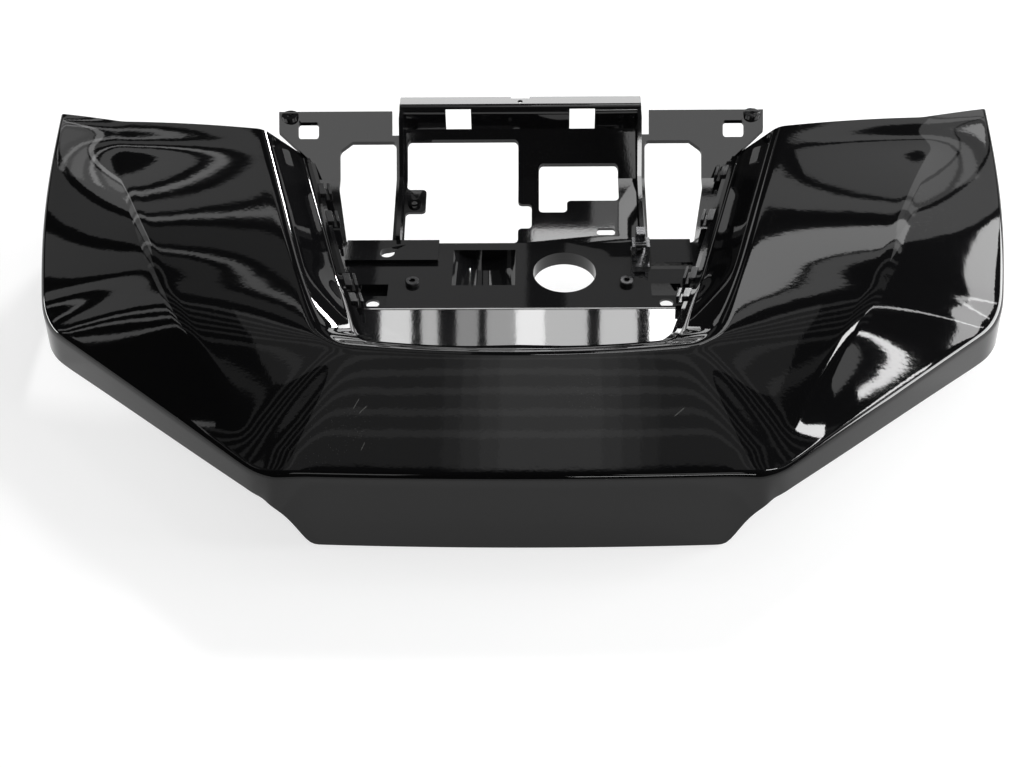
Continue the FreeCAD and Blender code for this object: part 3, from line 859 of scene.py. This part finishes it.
    def skin(self) -> Skin:
        """Outer skin: facets are parabolas between the key lines, joined by rounded corners.

        Each facet runs from a cut past one corner to a cut before the next, and each corner is a
        parabola that starts and ends on its two facets and heads for the corner itself.

        Returns:
            The skin, in metres from the middle of the panel.
        """
        at = self.key_lines()
        up = np.array([0.0, 0.0, 1.0])
        inner_crown = up * (2 * (at.crown * at.share ** 2))[:, None]
        outer_crown = up * (2 * (at.crown * (1 - at.share) ** 2))[:, None]
        facets = [
            (at.lip, (at.lip + at.foot) / 2, at.foot),
            (at.foot, (at.foot + at.ridge) / 2, at.ridge),
            (at.ridge, (at.ridge + at.crease) / 2 + inner_crown, at.crease),
            (at.crease, (at.crease + at.outer) / 2 + outer_crown, at.outer),
            (at.outer, (at.outer + at.edge) / 2, at.edge)]
        none = np.zeros(len(at.lip))
        lead = [none] + self.cut_shares(facets[1:])
        trail = self.cut_shares(facets) + [none]
        ease = np.linspace(0, 1, self.corner_rows)[1:-1, None] * np.ones(len(at.lip))
        rows: List[Array] = []
        for (first, middle, last), count, near, far in zip(facets, self.facet_rows, lead, trail):
            share = near + (1 - far - near) * np.linspace(0, 1, count)[:, None]
            face = self.bend(first, middle, last, share)
            if rows:
                rows.append(self.bend(rows[-1][-1], first, face[0], ease))
            rows.append(face)
        return Skin((np.concatenate(rows) - (0, self.full_depth / 2, 0)) * MM)

    def build(self) -> bpy.types.Object:
        """Close the skin with an inner skin one wall below it, a lower rim and two rear rims.

        Returns:
            The shell object.
        """
        skin = self.skin()
        under = skin.rows - skin.normals() * (self.wall * MM)
        under[-1, :, 2] = skin.rows[-1, :, 2]
        loop = np.concatenate([skin.rows, under[::-1]])
        count, wide = loop.shape[:2]
        number = np.arange(count * wide).reshape(count, wide)
        ring = np.concatenate([number, number[:1]])
        sides = np.stack([ring[:-1, :-1], ring[1:, :-1], ring[1:, 1:], ring[:-1, 1:]], axis=-1)
        half = count // 2
        top, bottom = number[:half], number[:half - 1:-1]
        caps = [np.stack([top[:-1, c], top[1:, c], bottom[1:, c], bottom[:-1, c]], axis=-1)
                for c in (0, wide - 1)]
        faces = np.concatenate([sides.reshape(-1, 4)] + caps)
        self.made = make_object("cover_shell_skin", loop, faces)
        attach(self.made, "root")
        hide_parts("cover_shell")
        return self.made

    def dress(self, finish: ShellGloss) -> None:
        """Give the shell its finish."""
        self.made.data.materials.append(finish.build())


@dataclass
class CadPiece:
    """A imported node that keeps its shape: its edges are broken and it gets a finish."""

    node: str
    edge: float
    steps: int = 2
    weld: float = 0.00002
    sharp: float = 32.0
    face_weight: int = 80

    def dress(self, material: bpy.types.Material) -> bpy.types.Object:
        """Round the edges with live modifiers and set the material.

        Args:
            material: finish of the whole node.

        Returns:
            The node's object.
        """
        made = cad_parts[self.node]
        weld = made.modifiers.new("weld", "WELD")
        weld.merge_threshold = self.weld
        bevel = made.modifiers.new("broken_edges", "BEVEL")
        bevel.width = self.edge
        bevel.segments = self.steps
        bevel.limit_method = "ANGLE"
        bevel.angle_limit = math.radians(self.sharp)
        bevel.use_clamp_overlap = True
        bevel.harden_normals = False
        normal = made.modifiers.new("face_normals", "WEIGHTED_NORMAL")
        normal.keep_sharp = False
        normal.weight = self.face_weight
        made.data.materials.clear()
        made.data.materials.append(material)
        return made


@dataclass(frozen=True)
class Card:
    """One soft studio lamp: a lit rectangle that faces a point."""

    PANEL: ClassVar[float] = 0.1
    ROOF: ClassVar[float] = 2.0
    HOOD: ClassVar[Triple] = (0.05, 0.5, 0.75)
    BAR: ClassVar[Triple] = (2.2, 0.97, 0.42)
    WING: ClassVar[Pair] = (0.35, 0.05)
    SLAT: ClassVar[float] = 2.0

    name: str
    place: Triple
    aim: Triple
    size: Pair
    glow: float

    @classmethod
    def hood(cls, name: str, height: float, wide: float, glow: float) -> "Card":
        """Level lamp over the hood, one of a stack that fades to both sides.

        Args:
            name: the lamp's name.
            height: height over the floor.
            wide: width in X.
            glow: brightness.

        Returns:
            The lamp.
        """
        x, y, deep = cls.HOOD
        return cls(name, (x, y, height), (x, y, 0.0), (wide, deep), glow)

    @classmethod
    def roof(cls, name: str, span: Pair, rises: Pair, glow: float) -> "Card":
        """Level lamp over and behind the panel.

        Args:
            name: the lamp's name.
            span: its two ends in X.
            rises: its far and near edge, as degrees of rise seen from the panel.
            glow: brightness.

        Returns:
            The lamp.
        """
        far, near = (cls.ROOF / math.tan(math.radians(rise)) for rise in rises)
        x, y = sum(span) / 2, (near + far) / 2
        height = cls.ROOF + cls.PANEL
        return cls(name, (x, y, height), (x, y, 0.0), (span[1] - span[0], far - near), glow)

    @classmethod
    def bar(cls, name: str, x: float, wide: float, glow: float) -> "Card":
        """Upright lamp low behind the panel, mirrored by the slope at the front of the tray.

        Args:
            name: the lamp's name.
            x: its place in X.
            wide: width.
            glow: brightness.

        Returns:
            The lamp.
        """
        y, z, tall = cls.BAR
        return cls(name, (x, y, z), (x, 0.0, cls.PANEL), (wide, tall), glow)

    @classmethod
    def slat(cls, name: str, turn: float, rise: float, size: Pair, glow: float) -> "Card":
        """Lamp at a set distance from the wing on its own side.

        Args:
            name: the lamp's name.
            turn: degrees to the right of straight back.
            rise: degrees over the level.
            size: width and height.
            glow: brightness.

        Returns:
            The lamp.
        """
        x, y = math.copysign(cls.WING[0], turn), cls.WING[1]
        flat = cls.SLAT * math.cos(math.radians(rise))
        place = (x + flat * math.sin(math.radians(turn)), y + flat * math.cos(math.radians(turn)),
                 cls.PANEL + cls.SLAT * math.sin(math.radians(rise)))
        return cls(name, place, (x, y, cls.PANEL), size, glow)

    @staticmethod
    def row(kind: Callable[..., "Card"], name: str,
            values: Sequence[Tuple[Any, ...]]) -> Tuple["Card", ...]:
        """Numbered lamps of one kind, one for each set of values."""
        return tuple(kind(f"{name}_{number}", *value) for number, value in enumerate(values, 1))

    def build(self) -> bpy.types.Object:
        """Make the area lamp; its power is glow times pi times its area.

        Returns:
            The lamp object.
        """
        lamp = bpy.data.lights.new(self.name, "AREA")
        lamp.shape = "RECTANGLE"
        lamp.size, lamp.size_y = self.size
        lamp.energy = self.glow * math.pi * self.size[0] * self.size[1]
        made = bpy.data.objects.new(self.name, lamp)
        made.location = self.place
        ahead = Vector(self.aim) - Vector(self.place)
        made.rotation_euler = ahead.to_track_quat("-Z", "Y").to_euler()
        bpy.context.scene.collection.objects.link(made)
        return made


LEFT, RIGHT, WHOLE = (-2.6, -0.15), (0.15, 2.6), (-2.6, 2.6)
LEFT_FAR, RIGHT_FAR = (-2.6, -0.75), (0.75, 2.6)
LAMPS: Tuple[Card, ...] = (
    Card("back_key", (1.7, 5.2, 3.1), (0.0, 0.0, 0.1), (1.2, 0.4), 170.0),
    Card("hood_fill", (0.0, 0.55, 2.2), (0.0, 0.55, 0.0), (1.8, 0.85), 0.3),
    *Card.row(Card.hood, "hood_stack", (
        (2.25, 0.26, 0.16), (2.28, 0.36, 0.16), (2.31, 0.46, 0.16), (2.34, 0.56, 0.12))),
    *Card.row(Card.slat, "right_slat", (
        (42.0, 38.0, (0.24, 0.8), 1.0), (51.0, 37.0, (0.2, 0.8), 0.8),
        (59.5, 36.0, (0.22, 0.8), 1.2), (76.0, 31.0, (0.7, 0.12), 9.0),
        (79.5, 38.0, (0.025, 0.7), 9.0), (90.5, 38.0, (0.03, 0.4), 20.0),
        (95.0, 40.0, (0.1, 0.6), 1.6), (83.5, 58.0, (0.12, 0.4), 22.0),
        (85.0, 15.0, (1.4, 0.8), 14.0))),
    *Card.row(Card.slat, "left_slat", (
        (-80.0, 12.0, (0.5, 0.2), 16.0), (-46.0, 40.0, (0.04, 0.8), 2.6),
        (-51.0, 39.0, (0.2, 0.8), 1.2), (-60.0, 37.0, (0.2, 0.8), 0.5),
        (-68.5, 36.0, (0.16, 0.8), 0.6), (-75.0, 36.0, (0.1, 0.8), 0.9),
        (-79.5, 37.0, (0.035, 0.8), 1.5), (-82.5, 38.0, (0.03, 0.8), 1.5),
        (-86.0, 40.0, (0.03, 0.8), 1.3))),
    Card("front_bar", (0.5, -1.6, 1.5), (0.1, 0.0, 0.1), (0.8, 0.12), 14.0),
    *Card.row(Card.bar, "rear_bar", (
        (-0.351, 0.08, 6.0), (-0.264, 0.043, 4.0), (-0.167, 0.055, 2.2), (-0.081, 0.074, 3.0),
        (-0.005, 0.076, 8.0), (0.088, 0.108, 4.5), (0.222, 0.096, 5.0), (0.351, 0.1, 14.0))),
    *Card.row(Card.roof, "tray_roof", (
        ((-0.5, -0.02), (35.5, 41.5), 0.35), ((0.1, 0.5), (35.5, 41.5), 0.3),
        ((-1.3, -0.6), (36.5, 42.0), 2.2), ((0.6, 1.3), (36.5, 42.0), 1.8))),
    Card("ledge_card", (0.0, 3.3, 2.1), (0.0, 0.2, 0.16), (1.2, 0.26), 6.0),
    Card("left_flange_card", (-0.46, -1.03, 1.7), (-0.176, 0.196, 0.14), (0.34, 0.34), 1.8),
    Card("right_flange_card", (0.39, -1.03, 1.7), (0.165, 0.194, 0.14), (0.34, 0.34), 1.8),
    Card.roof("ridge_line", (0.0, 0.45), (62.5, 64.2), 8.0),
    *Card.row(Card.roof, "right_band", (
        (RIGHT_FAR, (43.0, 49.5), 1.0), (RIGHT, (50.3, 52.5), 1.2),
        (RIGHT, (55.0, 60.0), 3.8), (RIGHT, (60.5, 62.3), 1.4))),
    *Card.row(Card.roof, "left_band", (
        (LEFT_FAR, (44.0, 46.5), 1.0), (LEFT_FAR, (47.5, 48.3), 2.4),
        (LEFT, (49.5, 51.5), 0.8), (LEFT, (52.4, 53.2), 2.0), (LEFT, (54.5, 58.0), 0.3),
        (LEFT, (59.2, 60.0), 1.6), (LEFT, (61.0, 63.0), 0.3))),
    *Card.row(Card.roof, "whole_line", (
        (WHOLE, (65.5, 66.5), 0.45), (WHOLE, (68.0, 69.0), 0.3), (WHOLE, (70.6, 71.6), 0.25),
        (WHOLE, (73.3, 74.3), 0.25), (WHOLE, (76.0, 77.0), 0.25), (WHOLE, (79.0, 80.0), 0.25),
        (WHOLE, (82.0, 83.0), 0.25))),
)


@dataclass
class Studio:
    """Pale floor, dim surround, soft lamps and the camera."""

    floor_reach: float = 9.0
    cove: float = 1.0
    wall_height: float = 2.4
    level_rings: int = 5
    cove_rings: int = 9
    floor_turns: int = 96
    floor_plain: Colour = (0.8, 0.8, 0.8, 1.0)
    floor_shade: Colour = (0.4, 0.4, 0.4, 1.0)
    white: Colour = (1.0, 1.0, 1.0, 1.0)
    floor_glow: float = 0.72
    surround_glow: float = 0.03
    eye: Triple = (0.018, -0.9859, 0.9099)
    pitch: float = 46.574
    yaw: float = 1.512
    roll: float = -1.145
    lens: float = 50.0
    sensor: float = 36.0
    cards: Tuple[Card, ...] = LAMPS

    def floor(self) -> bpy.types.Object:
        """Pale floor with a low round wall.

        A profile of a level run, a quarter circle and an upright run is carried round the middle.

        Returns:
            The floor object.
        """
        flat = self.floor_reach - self.cove
        bend = np.linspace(0, math.pi / 2, self.cove_rings)
        level = np.linspace(0, flat, self.level_rings)[:-1]
        curve = self.floor_reach - self.cove * (1 - np.sin(bend))
        out = np.concatenate([level, curve, [self.floor_reach]])
        rise = np.concatenate([0 * level, self.cove * (1 - np.cos(bend)), [self.wall_height]])
        turn = np.linspace(0, 2 * math.pi, self.floor_turns + 1)[:-1, None]
        points = np.stack([out * np.cos(turn), out * np.sin(turn), rise + 0 * turn], axis=-1)
        number = np.arange(points.shape[0] * points.shape[1]).reshape(points.shape[:2])
        after = np.roll(number, -1, axis=0)
        faces = np.stack([number[:, :-1], number[:, 1:], after[:, 1:], after[:, :-1]], axis=-1)
        made = make_object("floor", points, faces)
        made.data.materials.append(self.floor_material())
        return made

    def floor_material(self) -> bpy.types.Material:
        """Make the floor white to camera, gloss and glass rays, with the shadow kept.

        Returns:
            The finished material.
        """
        graph = Graph("pale_floor")
        camera, gloss, glass = graph.outputs("ShaderNodeLightPath", {}, (
            "Is Camera Ray", "Is Glossy Ray", "Is Transmission Ray"))
        plain = graph.node("ShaderNodeBsdfDiffuse", {}, {"Color": self.floor_plain})
        shade = graph.node("ShaderNodeBsdfDiffuse", {}, {"Color": self.floor_shade})
        glow = graph.node("ShaderNodeEmission", {},
                          {"Color": self.white, "Strength": self.floor_glow})
        seen = graph.node("ShaderNodeAddShader", {}, {0: shade, 1: glow})
        share = camera.larger(gloss).larger(glass)
        return graph.finish(graph.node("ShaderNodeMixShader", {}, {0: share, 1: plain, 2: seen}))

    def surround(self) -> None:
        """Dim even world light."""
        world = bpy.data.worlds.new("surround")
        world.use_nodes = True
        back = world.node_tree.nodes["Background"]
        back.inputs["Color"].default_value = self.white
        back.inputs["Strength"].default_value = self.surround_glow
        bpy.context.scene.world = world

    def camera(self) -> bpy.types.Object:
        """Camera at the photograph's viewing angle.

        Returns:
            The camera object.
        """
        lens = bpy.data.cameras.new("camera")
        lens.lens = self.lens
        lens.sensor_width = self.sensor
        made = bpy.data.objects.new("camera", lens)
        made.matrix_world = Matrix.Translation(self.eye)
        for angle, axis in ((self.yaw, "Z"), (self.pitch, "X"), (self.roll, "Z")):
            made.matrix_world = made.matrix_world @ Matrix.Rotation(math.radians(angle), 4, axis)
        bpy.context.scene.collection.objects.link(made)
        bpy.context.scene.camera = made
        return made

    def build(self) -> None:
        """Set up the whole studio."""
        self.floor()
        self.surround()
        for card in self.cards:
            card.build()
        self.camera()
        bpy.context.scene.view_settings.view_transform = "Standard"


def main() -> None:
    """Build and dress every piece, then the studio."""
    logging.basicConfig(level=logging.INFO)
    shell = CoverShell()
    LOG.info("built %s", shell.build().name)
    shell.dress(ShellGloss())
    clip = ClipSatin().build()
    pieces = (
        (CadPiece("inner_tray", 0.0007), TrayGloss().build()),
        (CadPiece("left_edge_clips", 0.0005), clip),
        (CadPiece("right_edge_clips", 0.0005), clip),
        (CadPiece("tray_screws", 0.0003), SCREW_BLACK.build()),
        (CadPiece("latch_clip", 0.0005), LATCH_STEEL.build()))
    for piece, material in pieces:
        LOG.info("dressed %s", piece.dress(material).name)
    Studio().build()


if __name__ == "__main__":
    main()
